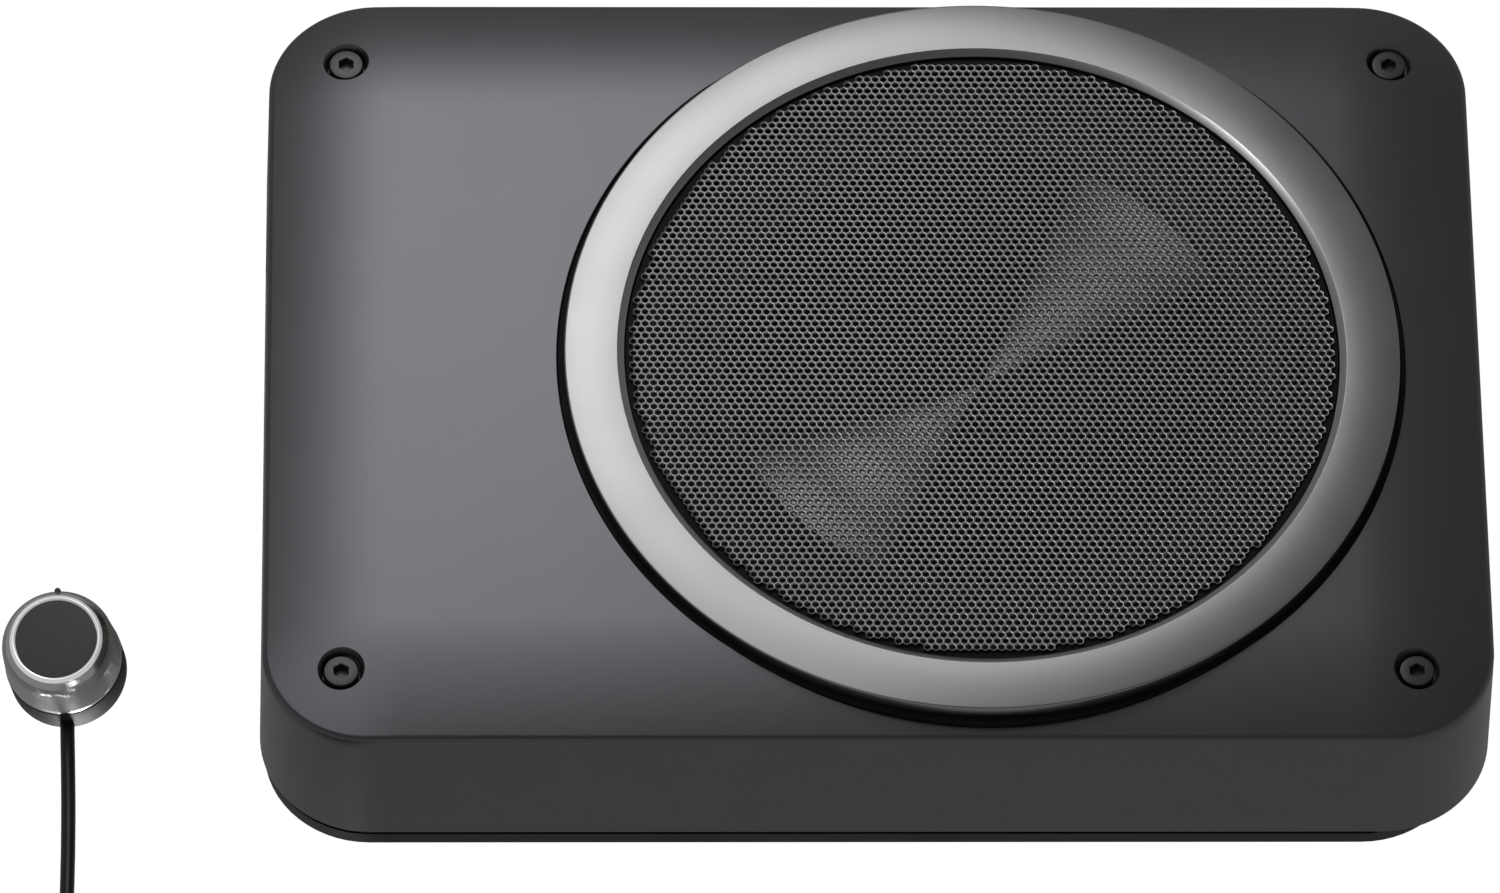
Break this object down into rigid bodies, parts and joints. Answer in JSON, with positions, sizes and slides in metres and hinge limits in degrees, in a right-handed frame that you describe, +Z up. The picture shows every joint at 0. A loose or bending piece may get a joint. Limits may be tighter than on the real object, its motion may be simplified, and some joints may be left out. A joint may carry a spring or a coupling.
{
  "type": "powered car subwoofer",
  "caption": "Compact under-seat powered subwoofer with a round grilled woofer in a low rectangular case, and a wired remote level knob on a cord.",
  "frame": {"origin": "centre of the casing's footprint on the floor, at the middle of the bottom plate's flat underside", "axes": "+X to the right along the case's long side, towards the woofer end; +Y to the back; +Z up, out of the grille"},
  "size_m": [0.4207, 0.3631, 0.0621],
  "materials": {
    "casing_paint": "satin, fine texture",
    "base_black": "matte black",
    "seal_foam": "closed-cell foam",
    "screw_black": "black oxide, satin",
    "ring_aluminium": "satin, fine blasted",
    "seat_black": "matte black",
    "grille_steel": "semi-gloss dark grey",
    "basket_steel": "black coating",
    "surround_rubber": "soft satin black",
    "cone_paper": "dark grey, fine concentric grain",
    "former_paper": "amber film",
    "copper": "enamelled copper wire",
    "spider_cloth": "resin-dipped cloth",
    "plated_steel": "zinc plated",
    "ferrite": "dull grey ferrite",
    "black_plastic": "moulded, satin",
    "lead_wire": "PVC sleeve",
    "circuit_board": "solder mask",
    "capacitor_sleeve": "shrink sleeve",
    "transistor_epoxy": "moulded epoxy",
    "heatsink_aluminium": "extruded",
    "jack_nickel": "nickel plated",
    "insulator_white": "moulded",
    "insulator_red": "moulded",
    "socket_nylon": "natural nylon",
    "pin_tin": "tin plated",
    "fuse_body": "translucent red moulding",
    "pot_case": "plain",
    "slider_white": "moulded",
    "led_lens": "diffused",
    "remote_black": "satin black",
    "knob_aluminium": "diamond knurled, satin",
    "knob_polished": "polished chamfer",
    "cap_black": "matte black",
    "shaft_steel": "turned",
    "cord_pvc": "black PVC jacket",
    "tie_rubber": "soft strap",
    "plug_clear": "clear polycarbonate"
  },
  "bodies": {
    "enclosure": {"top_cover": "casing_paint", "bottom_plate": "base_black", "cover_gasket": "seal_foam", "corner_screws": "screw_black", "trim_ring": "ring_aluminium", "ring_seat": "seat_black", "grille_mesh": "grille_steel", "basket": "basket_steel", "woofer_gasket": "seal_foam", "woofer_screws": "screw_black", "surround": "surround_rubber", "spider": "spider_cloth", "top_washer": "plated_steel", "magnet": "ferrite", "yoke": "plated_steel", "terminal_tab": "black_plastic", "speaker_leads": "lead_wire", "amp_board": "circuit_board", "board_screws": "plated_steel", "capacitors": "capacitor_sleeve", "output_inductor": "copper", "power_transistors": "transistor_epoxy", "heatsink_bar": "heatsink_aluminium", "terminal_panel": "black_plastic", "rca_jack_left": "jack_nickel", "rca_jack_right": "jack_nickel", "rca_insulator_left": "insulator_white", "rca_insulator_right": "insulator_red", "speaker_input_socket": "socket_nylon", "power_socket": "socket_nylon", "socket_pins": "pin_tin", "fuse_holder": "black_plastic", "fuse": "fuse_body", "remote_jack": "black_plastic", "level_pot": "pot_case", "lpf_pot": "pot_case", "phase_switch": "pot_case", "sensitivity_switch": "pot_case", "power_led": "led_lens", "remote_base": "remote_black", "remote_pot": "pot_case", "cord_grommet": "black_plastic", "remote_cord": "cord_pvc", "cord_coil": "cord_pvc", "cord_tie": "tie_rubber", "modular_plug": "plug_clear"},
    "moving_cone": {"cone": "cone_paper", "coil_former": "former_paper", "voice_coil": "copper"},
    "remote_knob": {"remote_knob": "knob_aluminium", "knob_ring": "knob_polished", "knob_cap": "cap_black", "knob_shaft": "shaft_steel"},
    "level_control": {"level_knob": "black_plastic"},
    "lpf_control": {"lpf_knob": "black_plastic"},
    "phase_slide": {"phase_slider": "slider_white"},
    "sensitivity_slide": {"sensitivity_slider": "slider_white"}
  },
  "joints": [
    {"name": "cone_travel", "type": "slide", "parent": "enclosure", "child": "moving_cone", "axis": [0, 0, 1], "range_m": [-0.005, 0.005], "stiffness_N_per_m": 3000, "deforming": ["surround", "spider"]},
    {"name": "remote_knob_turn", "type": "hinge", "parent": "enclosure", "child": "remote_knob", "pos_m": [-0.2286, -0.0711, 0.0038], "axis": [-0.0954, -0.2, 0.9751], "range_deg": [-150, 150]},
    {"name": "level_turn", "type": "hinge", "parent": "enclosure", "child": "level_control", "pos_m": [-0.157, 0.033, 0.037], "axis": [-1, 0, 0], "range_deg": [-140, 140]},
    {"name": "lpf_turn", "type": "hinge", "parent": "enclosure", "child": "lpf_control", "pos_m": [-0.157, 0.033, 0.018], "axis": [-1, 0, 0], "range_deg": [-140, 140]},
    {"name": "phase_travel", "type": "slide", "parent": "enclosure", "child": "phase_slide", "axis": [0, 0, 1], "range_m": [0, 0.003]},
    {"name": "sensitivity_travel", "type": "slide", "parent": "enclosure", "child": "sensitivity_slide", "axis": [0, 0, 1], "range_m": [0, 0.003]}
  ]
}
